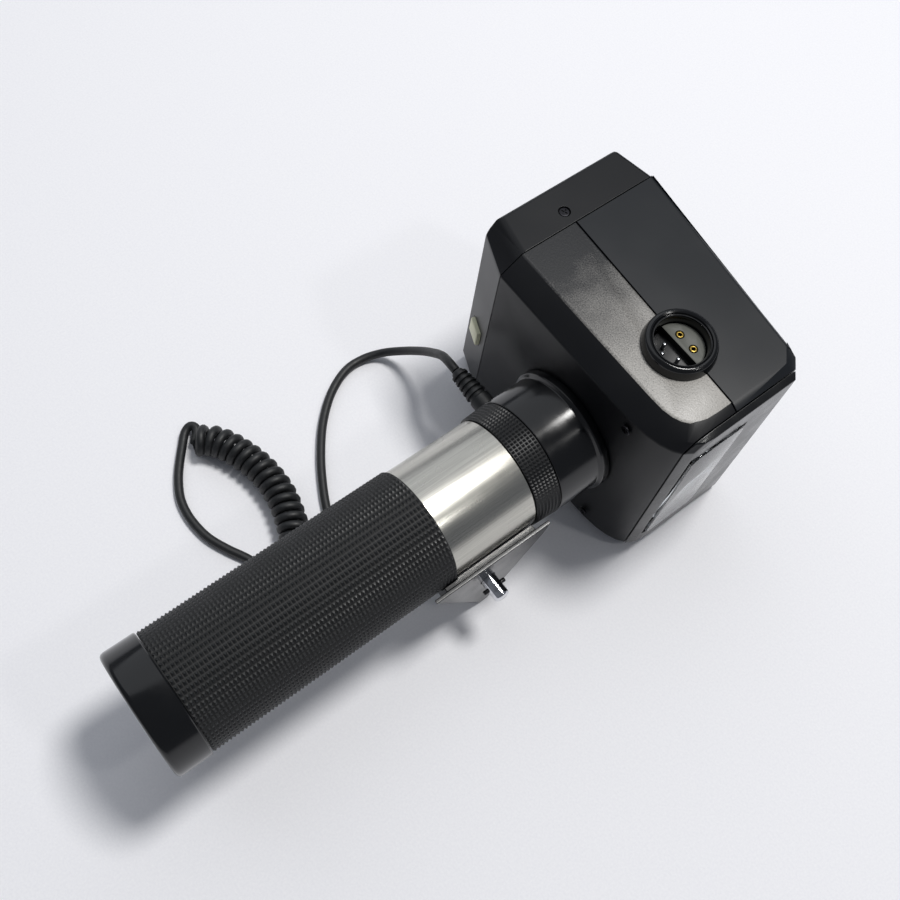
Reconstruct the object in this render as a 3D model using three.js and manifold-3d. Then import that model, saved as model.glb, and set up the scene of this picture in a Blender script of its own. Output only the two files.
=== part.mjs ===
// A handle-mount electronic flash lying on its side: a tubular grip, a swivelling
// lamp head, a bracket shoe with its release pin, and a coiled synchronising lead.
// Millimetres. +X is the way the lamp fires, +Y runs up the grip to the head, +Z is up.
import * as THREE from 'three';
import { mergeVertices } from 'three/addons/utils/BufferGeometryUtils.js';
import Module from 'manifold-3d';

const wasm = await Module();
wasm.setup();

// ---- Driving dimensions ---------------------------------------------------------

const GAP = 0.3;                 // clearance between touching pieces
const ROUND = 48;                // sides of a large round piece
const SMALL_ROUND = 20;          // sides of a pin, boss or screw

// Grip, measured along Y from the joint between the cap and the rubber
const GRIP_R = 24;
const TUBE_R = 23.3;
const TUBE_WALL = 1.3;
const GRIP_TOP = 103.4;
const TUBE_TOP = 141.2;
const RING_TOP = 152.2;
const RING_R = 24.6;
const COLLAR_R = 24.7;
const FLANGE_R = 26.2;
const CAP_LENGTH = 13.8;
const CAP_R = 24.6;
const SPIGOT_R = 19.5;           // the neck's spigot inside the tube
const SPIGOT_BORE = 16;

// Head: X limits, Y limits and half its width
const BACK_X = -67.6;
const SEAM_X = -49.5;
const FRONT_X = 46.5;
const BASE_Y = 175;
const HALF_WIDTH = 50;
const WALL = 2.8;
const TOP_SEAM_Y = 249.8;
const TOP_BACK_Y = 246.2;
const TOP_FRONT_Y = 240.5;
const SPLIT_BACK_Y = 210.6;      // joint of the upper and lower shells at the seam
const SPLIT_FRONT_Y = 206.4;     // and at the front

// Lamp window
const WINDOW = { y0: 187, y1: 214.5, halfWidth: 36 };

// Power socket on the upper side of the head
const SOCKET = { x: 12.8, y: 206, outerR: 14, innerR: 10, top: 55 };

// Bracket shoe
const SHOE = { x0: 26, x1: 27.6, y0: 91.5, y1: 145.5, tipY: 119, topZ: -1, tipZ: -49.7 };
const PIN = { y: 117.6, z: -17.5, r: 3.2, reach: 9.4 };
const CROSS_PIN = { r: 0.9, halfLength: 5, x: SHOE.x1 + 3.9 };

// Leads
const CORD_D = 3.8;
const COIL_D = 13.6;

// ---- Solids -----------------------------------------------------------------------

// One closed, outward-facing mesh with shared corners and no slivers.
function tidy(geometry) {
  let g = geometry.index ? geometry.clone() : geometry;
  g.deleteAttribute('normal');
  g.deleteAttribute('uv');
  g = mergeVertices(g, 1e-4);
  const p = g.attributes.position;
  const idx = g.index.array;
  const kept = [];
  let volume = 0;
  const [a, b, c] = [new THREE.Vector3(), new THREE.Vector3(), new THREE.Vector3()];
  for (let i = 0; i < idx.length; i += 3) {
    const [i0, i1, i2] = [idx[i], idx[i + 1], idx[i + 2]];
    if (i0 === i1 || i1 === i2 || i2 === i0) continue;
    kept.push(i0, i1, i2);
    a.fromBufferAttribute(p, i0);
    b.fromBufferAttribute(p, i1);
    c.fromBufferAttribute(p, i2);
    volume += a.dot(b.cross(c));
  }
  if (volume < 0) {
    for (let i = 0; i < kept.length; i += 3) {
      [kept[i + 1], kept[i + 2]] = [kept[i + 2], kept[i + 1]];
    }
  }
  g.setIndex(kept);
  return g;
}

function toSolid(geometry) {
  const g = tidy(geometry);
  return new wasm.Manifold(new wasm.Mesh({
    numProp: 3,
    vertProperties: new Float32Array(g.attributes.position.array),
    triVerts: new Uint32Array(g.index.array),
  }));
}

function fromSolid(solid) {
  const mesh = solid.getMesh();
  const g = new THREE.BufferGeometry();
  g.setAttribute('position', new THREE.BufferAttribute(new Float32Array(mesh.vertProperties), 3));
  g.setIndex(new THREE.BufferAttribute(new Uint32Array(mesh.triVerts), 1));
  return g;
}

function cut(base, ...tools) {
  let solid = toSolid(base);
  for (const tool of tools) solid = solid.subtract(toSolid(tool));
  return fromSolid(solid);
}

function common(base, tool) {
  return fromSolid(toSolid(base).intersect(toSolid(tool)));
}

function join(base, ...tools) {
  let solid = toSolid(base);
  for (const tool of tools) solid = solid.add(toSolid(tool));
  return fromSolid(solid);
}

// ---- Shapes -----------------------------------------------------------------------

// Turned about the Y axis from [radius, y] points; a ring repeats its first point.
function turned(points, sides = ROUND) {
  return new THREE.LatheGeometry(points.map(([r, y]) => new THREE.Vector2(r, y)), sides);
}

function ring(inner, outer, y0, y1, sides = ROUND) {
  return turned([[inner, y0], [outer, y0], [outer, y1], [inner, y1], [inner, y0]], sides);
}

function cylinder(r, y0, y1, sides = SMALL_ROUND) {
  return new THREE.CylinderGeometry(r, r, y1 - y0, sides).translate(0, (y0 + y1) / 2, 0);
}

const alongX = (geometry) => geometry.rotateZ(-Math.PI / 2);
const alongZ = (geometry) => geometry.rotateX(Math.PI / 2);

function block(x0, x1, y0, y1, z0, z1) {
  return new THREE.BoxGeometry(x1 - x0, y1 - y0, z1 - z0)
    .translate((x0 + x1) / 2, (y0 + y1) / 2, (z0 + z1) / 2);
}

// An outline of [x, y] points made solid from z0 to z1.
function slab(outline, z0, z1) {
  const shape = new THREE.Shape(outline.map(([x, y]) => new THREE.Vector2(x, y)));
  return new THREE.ExtrudeGeometry(shape, { depth: z1 - z0, bevelEnabled: false }).translate(0, 0, z0);
}

// Skinned through sections of equal point count, each { z, points: [x, y] }.
function loft(sections) {
  const count = sections[0].points.length;
  const position = sections.flatMap(({ z, points }) => points.flatMap(([x, y]) => [x, y, z]));
  const index = [];
  for (let s = 0; s < sections.length - 1; s += 1) {
    for (let i = 0; i < count; i += 1) {
      const j = (i + 1) % count;
      const [a, b, c, d] = [s * count + i, s * count + j, (s + 1) * count + j, (s + 1) * count + i];
      index.push(a, b, c, a, c, d);
    }
  }
  const cap = THREE.ShapeUtils.triangulateShape(
    sections[0].points.map(([x, y]) => new THREE.Vector2(x, y)), []);
  const last = (sections.length - 1) * count;
  for (const [i, j, k] of cap) {
    index.push(k, j, i);
    index.push(last + i, last + j, last + k);
  }
  const g = new THREE.BufferGeometry();
  g.setAttribute('position', new THREE.Float32BufferAttribute(position, 3));
  g.setIndex(index);
  return g;
}

// ---- Head form --------------------------------------------------------------------

// Side view of the head: `lift` raises the bottom edge, `front` is the front face's X,
// `soft` is the corner's exponent, and `inset` moves every side inward.
function headOutline({ lift, front, cornerX, cornerY, soft, inset = 0 }) {
  const bottom = BASE_Y + lift + inset;
  const frontX = front - inset;
  const points = [
    [BACK_X + inset, 182.4 + 0.6 * lift + inset],
    [SEAM_X, bottom],
    [cornerX - 8, bottom],
  ];
  const steps = 7;
  for (let i = 0; i <= steps; i += 1) {
    const t = (i / steps) * (Math.PI / 2);
    const x = cornerX + (frontX - cornerX) * Math.sin(t) ** (2 / soft);
    const y = cornerY - (cornerY - bottom) * Math.cos(t) ** (2 / soft);
    points.push([x, y]);
  }
  points.push([frontX, 234 - inset * 0.6]);
  points.push([frontX - 6.5, TOP_FRONT_Y - inset]);
  points.push([SEAM_X, TOP_SEAM_Y - inset]);
  points.push([BACK_X + inset, TOP_BACK_Y - inset]);
  return points;
}

function headForm(inset = 0) {
  const levels = [
    { z: HALF_WIDTH - inset, lift: 9.5, front: 40.2, cornerX: 22, cornerY: 200, soft: 2.8 },
    { z: 47 - inset, lift: 5.2, front: FRONT_X, cornerX: 20, cornerY: 194, soft: 2.6 },
    { z: 43.5 - inset, lift: 0, front: FRONT_X, cornerX: 14, cornerY: 190, soft: 2.6 },
  ];
  const sections = [...levels].reverse().map((level) => ({
    z: level.z, points: headOutline({ ...level, inset }),
  }));
  const mirrored = levels.map((level) => ({
    z: -level.z, points: headOutline({ ...level, inset }),
  }));
  return loft([...mirrored, ...sections]);
}

const splitSlope = (SPLIT_FRONT_Y - SPLIT_BACK_Y) / (40 - SEAM_X);
const splitY = (x) => SPLIT_BACK_Y + splitSlope * (x - SEAM_X);

// Everything in front of the back cover, below or above the line where the shells meet.
function region(part) {
  const x0 = SEAM_X + GAP / 2;
  const x1 = FRONT_X - 3;
  if (part === 'back') return block(BACK_X - 5, SEAM_X - GAP / 2, BASE_Y - 5, 260, -60, 60);
  const edge = part === 'lower' ? -GAP / 2 : GAP / 2;
  const far = part === 'lower' ? BASE_Y - 5 : 260;
  return slab([[x0, far], [x1, far], [x1, splitY(x1) + edge], [x0, splitY(x0) + edge]], -60, 60);
}

// ---- Model ------------------------------------------------------------------------

const group = new THREE.Group();
const model = new THREE.Group();
// The origin is under the middle of the object, on the surface that it lies on.
model.position.set(10.25, -118, HALF_WIDTH);
group.add(model);

function add(name, geometry, [color, roughness, metalness]) {
  const material = new THREE.MeshStandardMaterial({ color, roughness, metalness });
  const mesh = new THREE.Mesh(tidy(geometry), material);
  mesh.name = name;
  model.add(mesh);
}

const RUBBER = ['#1b1c1e', 0.75, 0];
const GLOSS_BLACK = ['#101113', 0.22, 0];
const SATIN_BLACK = ['#1d1f22', 0.45, 0];
const SLATE = ['#2a2d31', 0.5, 0];
const STEEL = ['#b9b8b2', 0.28, 1];
const CHROME = ['#d8d8da', 0.08, 1];
const BRASS = ['#b08d45', 0.35, 1];
const IVORY = ['#d2d1b4', 0.45, 0];
const CLEAR = ['#dfe6ea', 0.05, 0];
const MIRROR = ['#cfd2d4', 0.12, 1];
const BOARD = ['#3c5a34', 0.6, 0];
const CORD = ['#17181a', 0.5, 0];
const CELL = ['#5a5f66', 0.4, 0.3];

// Grip: steel tube, rubber sleeve, screwed cap and the cells it holds
add('handle_tube', ring(TUBE_R - TUBE_WALL, TUBE_R, GAP, TUBE_TOP - GAP), STEEL);
add('grip_sleeve', ring(TUBE_R + GAP, GRIP_R, GAP, GRIP_TOP), RUBBER);
add('butt_cap', turned([
  [0, -CAP_LENGTH], [CAP_R - 2, -CAP_LENGTH], [CAP_R - 0.6, -CAP_LENGTH + 0.6],
  [CAP_R, -CAP_LENGTH + 2], [CAP_R, 0], [TUBE_R - TUBE_WALL - GAP, 0],
  [TUBE_R - TUBE_WALL - GAP, 8], [18.5, 8], [18.5, -CAP_LENGTH + 3], [0, -CAP_LENGTH + 3],
]), GLOSS_BLACK);

const CELL_R = 7.1;
const CELL_PITCH = 7.8;
const CELL_Y = [14, 65.5];
for (let i = 0; i < 4; i += 1) {
  const angle = Math.PI / 4 + (i * Math.PI) / 2;
  const x = CELL_PITCH * Math.SQRT2 * Math.cos(angle);
  const z = CELL_PITCH * Math.SQRT2 * Math.sin(angle);
  add(`cell_${i + 1}`, turned([
    [0, CELL_Y[0]], [CELL_R, CELL_Y[0]], [CELL_R, CELL_Y[1] - 2], [2.6, CELL_Y[1] - 2],
    [2.6, CELL_Y[1] - 0.8], [0, CELL_Y[1] - 0.8],
  ], SMALL_ROUND).translate(x, 0, z), CELL);
}
add('cell_contact_plate', cylinder(18, CELL_Y[0] - 2, CELL_Y[0] - GAP, 32), BRASS);
add('cell_terminal_board', cylinder(21.2, CELL_Y[1], CELL_Y[1] + 2, 32), BOARD);

// Neck: spigot and collar in one, with the knurled locking ring turning on it
add('neck_collar', turned([
  [SPIGOT_BORE, 112], [SPIGOT_R, 112], [SPIGOT_R, RING_TOP + GAP / 2], [COLLAR_R, RING_TOP + GAP / 2],
  [COLLAR_R, 170.6], [FLANGE_R, 171.4], [FLANGE_R, BASE_Y - GAP], [SPIGOT_BORE, BASE_Y - GAP],
  [SPIGOT_BORE, 112],
]), GLOSS_BLACK);
add('spigot_bush', ring(SPIGOT_R + GAP, TUBE_R - TUBE_WALL - GAP, 116, 138), BRASS);
add('locking_ring', turned([
  [SPIGOT_R + GAP, TUBE_TOP], [TUBE_R + 0.3, TUBE_TOP], [RING_R - 0.2, TUBE_TOP + 2],
  [RING_R + 0.2, RING_TOP - 1.4], [RING_R - 0.4, RING_TOP - GAP / 2], [SPIGOT_R + GAP, RING_TOP - GAP / 2],
  [SPIGOT_R + GAP, TUBE_TOP],
]), SATIN_BLACK);

// Head shells: one hollow form, parted at the seam and along the sides
const boreClear = cylinder(SPIGOT_BORE, BASE_Y - 4, BASE_Y + WALL + 2, 32);
const socketHole = alongZ(cylinder(SOCKET.innerR + 1.2, 40, 60, 32)).translate(SOCKET.x, SOCKET.y, 0);
const hollow = cut(headForm(), headForm(WALL), boreClear, socketHole);
const upperScrew = { x: -55.5, y: 209.8 };
const screwHole = (z0, z1) => alongZ(cylinder(2.4, z0, z1)).translate(upperScrew.x, upperScrew.y, 0);
add('lower_shell', common(hollow, region('lower')), SATIN_BLACK);
add('upper_shell', common(hollow, region('upper')), SLATE);

// Test button on the sloping underside of the back cover
const SLOPE = Math.atan2(182.4 - BASE_Y, SEAM_X - BACK_X);
const BUTTON = { x: -58.7, z: -11, half: 4.4 };
const slopeY = BASE_Y + (SEAM_X - BUTTON.x) * Math.tan(SLOPE);
const onSlope = (geometry) => geometry.rotateZ(-SLOPE).translate(BUTTON.x, slopeY, BUTTON.z);
const buttonHole = onSlope(block(-BUTTON.half - GAP, BUTTON.half + GAP, -6, 6,
  -BUTTON.half - GAP, BUTTON.half + GAP));
add('back_cover', cut(common(headForm(), region('back')),
  common(headForm(WALL), block(BACK_X, SEAM_X + 5, 170, 260, -60, 60)),
  screwHole(48.6, 60), screwHole(-60, -48.6), buttonHole), SATIN_BLACK);
add('test_button', onSlope(block(-BUTTON.half, BUTTON.half, -1.6, 4,
  -BUTTON.half, BUTTON.half)), IVORY);
for (const [name, side] of [['cover_screw_left', 1], ['cover_screw_right', -1]]) {
  const screw = turned([[0, 48.9], [2.1, 48.9], [2.1, 49.7], [0, 49.7]], SMALL_ROUND);
  add(name, alongZ(screw).scale(1, 1, side).translate(upperScrew.x, upperScrew.y, 0), STEEL);
}

// Front frame, lamp window, reflector and flash tube
const frameBlank = common(headForm(), block(FRONT_X - 3 + GAP, FRONT_X + 5, 170, 260, -60, 60));
const windowHole = block(30, 60, WINDOW.y0, WINDOW.y1, -WINDOW.halfWidth, WINDOW.halfWidth);
add('front_frame', cut(frameBlank, windowHole), GLOSS_BLACK);

function roundedRect(y0, y1, halfWidth, radius, x0, x1) {
  const shape = new THREE.Shape();
  const [left, right] = [-halfWidth, halfWidth];
  shape.moveTo(left + radius, y0);
  shape.lineTo(right - radius, y0);
  shape.absarc(right - radius, y0 + radius, radius, -Math.PI / 2, 0, false);
  shape.absarc(right - radius, y1 - radius, radius, 0, Math.PI / 2, false);
  shape.absarc(left + radius, y1 - radius, radius, Math.PI / 2, Math.PI, false);
  shape.absarc(left + radius, y0 + radius, radius, Math.PI, 1.5 * Math.PI, false);
  const options = { depth: x1 - x0, bevelEnabled: false, curveSegments: 5 };
  return new THREE.ExtrudeGeometry(shape, options).rotateY(-Math.PI / 2).scale(-1, 1, 1).translate(x0, 0, 0);
}

const paneGap = GAP + 0.1;
add('lamp_window', roundedRect(WINDOW.y0 + paneGap, WINDOW.y1 - paneGap, WINDOW.halfWidth - paneGap,
  4, FRONT_X - 2.4, FRONT_X + 0.6), CLEAR);

const LAMP_Y = (WINDOW.y0 + WINDOW.y1) / 2;
const LAMP_X = 26;
function trough(inset) {
  const [x0, x1] = [12 + inset, FRONT_X - 4 + (inset ? 2 : 0)];
  const half = (WINDOW.y1 - WINDOW.y0) / 2 - 1 - inset;
  const outline = [[x0, LAMP_Y - 7 + inset], [x1, LAMP_Y - half], [x1, LAMP_Y + half],
    [x0, LAMP_Y + 7 - inset]];
  return slab(outline, -34 + inset, 34 - inset);
}
add('reflector', cut(trough(0), trough(1)), MIRROR);
add('flash_tube', alongZ(cylinder(2.8, -31, 31)).translate(LAMP_X, LAMP_Y, 0), CLEAR);

// Works inside the head
add('main_capacitor', alongZ(cylinder(13, -38, 30, 32)).translate(-24, 196, 0), CELL);
add('circuit_board', block(-44, 4, 222, 223.6, -42, 42), BOARD);
add('charging_transformer', block(-30, -8, 224, 238, -16, 10), SATIN_BLACK);
add('trigger_coil', alongX(cylinder(5, 0, 14)).translate(-2, 229.4, 24), BRASS);

// Power socket: raised boss, insulator and its contacts
const boss = turned([
  [SOCKET.innerR, 48.4], [SOCKET.innerR + 0.9, 48.4], [SOCKET.innerR + 0.9, HALF_WIDTH + GAP],
  [SOCKET.outerR, HALF_WIDTH + GAP], [SOCKET.outerR - 1.6, SOCKET.top - 0.6],
  [SOCKET.outerR - 2.6, SOCKET.top], [SOCKET.innerR + 0.4, SOCKET.top],
  [SOCKET.innerR, SOCKET.top - 0.8], [SOCKET.innerR, 48.4],
], 40);
const atSocket = (geometry) => alongZ(geometry).translate(SOCKET.x, SOCKET.y, 0);
add('socket_boss', atSocket(boss), GLOSS_BLACK);
const insertR = SOCKET.innerR - GAP;
const CONTACTS = [[-3.4, 3.6], [3.8, 3.6]];
const PINS = [[-3.8, -3.4], [3.6, -3.4], [-1.4, -6.6]];
const base = atSocket(cylinder(insertR, 44, 46.6, 40));
const shelf = common(atSocket(cylinder(insertR, 45, 50.2, 40)),
  block(SOCKET.x - 12, SOCKET.x + 12, SOCKET.y + 0.4, SOCKET.y + 12, 40, 60));
const bored = CONTACTS.map(([x, y]) => (
  alongZ(cylinder(1.7, 47.2, 60)).translate(SOCKET.x + x, SOCKET.y + y, 0)));
add('socket_insulator', cut(join(base, shelf), ...bored), SATIN_BLACK);
CONTACTS.forEach(([x, y], i) => {
  const sleeve = alongZ(ring(0.7, 1.4, 47.5, 50.4, SMALL_ROUND));
  add(`socket_contact_${i + 1}`, sleeve.translate(SOCKET.x + x, SOCKET.y + y, 0), BRASS);
});
PINS.forEach(([x, y], i) => {
  const pin = alongZ(turned([[0, 46.9], [0.8, 46.9], [0.8, 49.6], [0.4, 50], [0, 50]], 12));
  add(`socket_pin_${i + 1}`, pin.translate(SOCKET.x + x, SOCKET.y + y, 0), CHROME);
});

// Bracket shoe clamped to the tube, with its sprung release pin
const shoeOutline = [
  [SHOE.topZ, SHOE.y0], [SHOE.topZ, SHOE.y1], [SHOE.topZ - 7, SHOE.y1 - 1.8], [SHOE.tipZ + 8, SHOE.tipY + 7.5],
  [SHOE.tipZ, SHOE.tipY + 3], [SHOE.tipZ, SHOE.tipY - 1], [SHOE.tipZ + 6, SHOE.tipY - 3.5],
];
const plate = slab(shoeOutline.map(([z, y]) => [-z, y]), SHOE.x0, SHOE.x1).rotateY(Math.PI / 2);
const pinHole = alongX(cylinder(PIN.r + GAP, 0, 40)).translate(0, PIN.y, PIN.z);
const saddle = cut(cut(
  block(18, SHOE.x0 + 1, SHOE.y0 + 6, SHOE.y1 - 6, -13, SHOE.topZ - 1),
  cylinder(TUBE_R + GAP, SHOE.y0, SHOE.y1, ROUND)),
cylinder(GRIP_R + GAP, SHOE.y0, GRIP_TOP + GAP, ROUND));
const mountedShoe = cut(join(plate, saddle), pinHole);
add('bracket_shoe', mountedShoe, SATIN_BLACK);
const crossHole = cylinder(CROSS_PIN.r + GAP, PIN.y - PIN.r * 2, PIN.y + PIN.r * 2)
  .translate(CROSS_PIN.x, 0, PIN.z);
add('release_pin', cut(join(
  alongX(cylinder(PIN.r, SHOE.x0 - 0.6, SHOE.x1 + PIN.reach - 1.2)).translate(0, PIN.y, PIN.z),
  alongX(cylinder(PIN.r - 0.6, SHOE.x1 + PIN.reach - 1.4, SHOE.x1 + PIN.reach)).translate(0, PIN.y, PIN.z),
), crossHole), CHROME);
add('cross_pin', cylinder(CROSS_PIN.r, PIN.y - CROSS_PIN.halfLength, PIN.y + CROSS_PIN.halfLength)
  .translate(CROSS_PIN.x, 0, PIN.z), GLOSS_BLACK);

// Screws under the head
const LOWER_SCREWS = [[29.9, 41], [29.9, -41]];
LOWER_SCREWS.forEach(([x, z], i) => {
  add(`base_screw_${i + 1}`, cylinder(2, BASE_Y - 1.1, BASE_Y - GAP).translate(x - 6, 0, z - Math.sign(z) * 3), STEEL);
});

// Leads: plug in the collar, free lead, coil, tail and the camera plug
const LEAD_Y = 158;
const LEAD_Z = -6;
const RELIEF_X = [-46, -25.2];
const relief = turned([
  [0, 0], [2.6, 0], [3.4, 8], [4.4, 14.4], [4.4, 20.6], [0, 20.6],
], SMALL_ROUND);
const PLUG_FACE = cylinder(COLLAR_R + GAP, 150, 168, ROUND);
add('strain_relief', cut(alongX(relief).translate(RELIEF_X[0], LEAD_Y, LEAD_Z), PLUG_FACE), CORD);

const FLOOR_Z = -HALF_WIDTH;
const LIE = FLOOR_Z + CORD_D / 2 + 0.1;
const LEAD_ROUTE = [
  [-46.5, 158, -6], [-51, 158.3, -6.6], [-57, 159.8, -11], [-63.4, 161.2, -19], [-71.5, 161.4, -29],
  [-80.6, 158.6, -39], [-88, 152.6, -45.6], [-91.4, 144, LIE], [-90.6, 134.6, LIE],
  [-84.9, 123.4, LIE], [-75.4, 112.6, LIE], [-64, 103.6, LIE], [-53.1, 96.8, LIE],
  [-41.4, 91, LIE], [-28, 87, LIE], [-16.4, 84, LIE], [-9.4, 77.6, LIE],
  [-11, 69.6, LIE], [-18, 66.4, LIE], [-24.6, 67.2, LIE + 1.6],
];
const COIL_AXIS = [
  [-96, 65.4], [-92.4, 70], [-84, 74.8], [-70.6, 77.6],
  [-56.8, 77.6], [-44, 74.4], [-34, 70.4], [-25.2, 67.4],
];
const TAIL_ROUTE = [
  [-96.4, 64.8, LIE + 2.2], [-98.4, 61.8, LIE + 0.8], [-98.2, 57.6, LIE], [-93.6, 52.8, LIE], [-87, 48.4, LIE],
  [-75, 43.6, LIE], [-64.7, 43.8, LIE], [-54.6, 47, LIE], [-47, 50.8, LIE],
  [-40, 54, LIE], [-32, 55.8, LIE], [-26.4, 56, LIE],
];

const toVectors = (points) => points.map(([x, y, z]) => new THREE.Vector3(x, y, z));

function tube(points, diameter, sides, steps) {
  const curve = new THREE.CatmullRomCurve3(toVectors(points), false, 'centripetal');
  const shape = new THREE.Shape();
  shape.absarc(0, 0, diameter / 2, 0, 2 * Math.PI, false);
  return new THREE.ExtrudeGeometry(shape, { steps, extrudePath: curve, curveSegments: sides });
}

add('lead_cord', tube(LEAD_ROUTE, CORD_D, 8, 42), CORD);
add('lead_coil', tube(COIL_AXIS.map(([x, y]) => [x, y, FLOOR_Z + COIL_D / 2 + 0.15]), COIL_D, 12, 18), CORD);
add('tail_cord', tube(TAIL_ROUTE, CORD_D, 8, 26), CORD);
add('camera_plug', alongX(turned([
  [0, 0], [2.6, 0], [3.6, 6], [3.9, 7], [3.9, 17], [2.4, 17.4], [2.4, 22], [0, 22],
], SMALL_ROUND)).translate(-26, 56, FLOOR_Z + 4.05), GLOSS_BLACK);

export default group;
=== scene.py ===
"""Finish, leads and studio stage of a handle-mount electronic flash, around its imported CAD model."""
import math

import bpy
from mathutils import Matrix, Vector


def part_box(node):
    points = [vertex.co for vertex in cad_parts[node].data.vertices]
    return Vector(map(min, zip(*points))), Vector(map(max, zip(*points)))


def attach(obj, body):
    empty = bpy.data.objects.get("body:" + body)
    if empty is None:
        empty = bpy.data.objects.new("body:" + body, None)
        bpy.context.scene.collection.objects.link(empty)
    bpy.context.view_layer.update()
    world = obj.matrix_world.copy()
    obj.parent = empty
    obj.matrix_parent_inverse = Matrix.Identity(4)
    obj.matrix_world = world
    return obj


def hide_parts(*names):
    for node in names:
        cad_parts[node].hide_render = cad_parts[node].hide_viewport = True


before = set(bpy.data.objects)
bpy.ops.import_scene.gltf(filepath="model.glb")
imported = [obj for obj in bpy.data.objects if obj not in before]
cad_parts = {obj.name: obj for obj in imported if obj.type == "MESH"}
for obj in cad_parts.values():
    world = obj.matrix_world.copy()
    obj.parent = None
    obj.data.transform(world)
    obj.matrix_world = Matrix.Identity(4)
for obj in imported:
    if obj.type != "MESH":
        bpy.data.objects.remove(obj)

bl_info = {
    "name": "Handle-mount flash",
    "version": (1, 0, 0),
    "blender": (4, 5, 0),
    "location": "View3D > Sidebar > Flash",
    "description": "Finishes a handle-mount electronic flash and sets its studio stage",
    "category": "Object",
}

MM = 0.001
FULL_TURN = 2 * math.pi

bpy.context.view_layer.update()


def corners(node_name):
    """The lowest and the highest corner of a CAD node's box."""
    low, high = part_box(node_name)
    return Vector(low), Vector(high)


# The grip's axis, and the joint of the butt cap with the rubber on it, are the datum of every size.
CAP_JOINT_GAP = 0.3 * MM
HALF_HEIGHT = 50 * MM
TUBE_LOW, TUBE_HIGH = corners("handle_tube")
SLEEVE_LOW, SLEEVE_HIGH = corners("grip_sleeve")
TUBE_MIDDLE = (TUBE_LOW + TUBE_HIGH) / 2
DATUM = Vector((TUBE_MIDDLE.x, SLEEVE_LOW.y - CAP_JOINT_GAP, TUBE_MIDDLE.z))
FLOOR = DATUM.z - HALF_HEIGHT

# Edges turned by more than this, in degrees, count as sharp and are rounded.
SHARP = 28


def at(x, y, z):
    """A point given in metres from the datum: forward, along the grip and up."""
    return DATUM + Vector((x, y, z))


# ---- Properties -----------------------------------------------------------------------


class FlashSizes(bpy.types.PropertyGroup):
    """Sizes that a user would change."""

    grip_pitch: bpy.props.FloatProperty(
        name="Grip pitch", description="Spacing of the rubber's pyramids along the grip",
        default=1.534 * MM, min=1 * MM, max=4 * MM, unit="LENGTH")
    grip_rows: bpy.props.IntProperty(
        name="Grip rows", description="Rows of pyramids round the grip", default=66, min=24, max=120)
    grip_relief: bpy.props.FloatProperty(
        name="Grip relief", description="Height of the rubber's pyramids", default=0.55 * MM,
        min=0.1 * MM, max=1 * MM, unit="LENGTH")
    knurl_pitch: bpy.props.FloatProperty(
        name="Knurl pitch", description="Spacing of the locking ring's studs along the grip",
        default=1.45 * MM, min=0.8 * MM, max=3 * MM, unit="LENGTH")
    knurl_rows: bpy.props.IntProperty(
        name="Knurl rows", description="Rows of studs round the locking ring",
        default=104, min=24, max=160)
    lead_diameter: bpy.props.FloatProperty(
        name="Lead diameter", description="Jacket diameter of the lead", default=3.8 * MM,
        min=2 * MM, max=6 * MM, unit="LENGTH")
    coil_pitch: bpy.props.FloatProperty(
        name="Coil pitch", description="Distance from turn to turn of the coiled lead",
        default=4.25 * MM, min=3 * MM, max=8 * MM, unit="LENGTH")


class FlashColours(bpy.types.PropertyGroup):
    """Colours that a user would change, as sRGB hex values."""

    shell: bpy.props.StringProperty(
        name="Lower shell", description="Black moulded ABS", default="#0c0d10")
    slate: bpy.props.StringProperty(
        name="Upper shell", description="Slate moulded ABS", default="#15181c")
    rubber: bpy.props.StringProperty(
        name="Rubber", description="Moulded grip rubber", default="#131517")
    steel: bpy.props.StringProperty(
        name="Steel", description="Brushed stainless tube", default="#c4c2ba")
    ivory: bpy.props.StringProperty(
        name="Button", description="Ivory test button", default="#ecebcb")


def sizes():
    return bpy.context.scene.flash_sizes


def colours():
    return bpy.context.scene.flash_colours


# ---- Modelling helpers ----------------------------------------------------------------


def select_only(*objects):
    """Leaves edit mode, and selects these objects and nothing else."""
    active = bpy.context.view_layer.objects.active
    if active is not None and active.mode != "OBJECT":
        bpy.ops.object.mode_set(mode="OBJECT")
    bpy.ops.object.select_all(action="DESELECT")
    for item in objects:
        item.select_set(True)
    bpy.context.view_layer.objects.active = objects[0] if objects else None


def edit(piece, pick="SELECT"):
    """Enters edit mode on a piece with all its vertices selected, or none of them."""
    select_only(piece)
    bpy.ops.object.mode_set(mode="EDIT")
    bpy.ops.mesh.select_mode(type="VERT")
    bpy.ops.mesh.select_all(action=pick)


def leave_edit():
    bpy.ops.object.mode_set(mode="OBJECT")


def modify(piece, kind, **settings):
    """Adds a modifier, sets it and applies it."""
    modifier = piece.modifiers.new(kind, kind)
    for key, value in settings.items():
        setattr(modifier, key, value)
    select_only(piece)
    bpy.ops.object.modifier_apply(modifier=modifier.name)


def named(name):
    """Names the object that an add operator has just made."""
    piece = bpy.context.active_object
    piece.name = name
    piece.data.name = name
    return piece


def settle(piece):
    """Puts the object's place, turn and size into its mesh."""
    select_only(piece)
    bpy.ops.object.transform_apply(location=True, rotation=True, scale=True)


def finish_piece(piece, body, material, replaces=(), smooth=35, weighted=False):
    """Shades a piece, gives it its material and slot, and puts it on its body for the CAD nodes."""
    settle(piece)
    bpy.ops.object.shade_smooth_by_angle(angle=math.radians(smooth))
    if weighted:
        modify(piece, "WEIGHTED_NORMAL", keep_sharp=True, weight=60)
    piece.data.materials.clear()
    piece.data.materials.append(material)
    if replaces:
        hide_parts(*replaces)
    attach(piece, body)
    return piece


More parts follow.
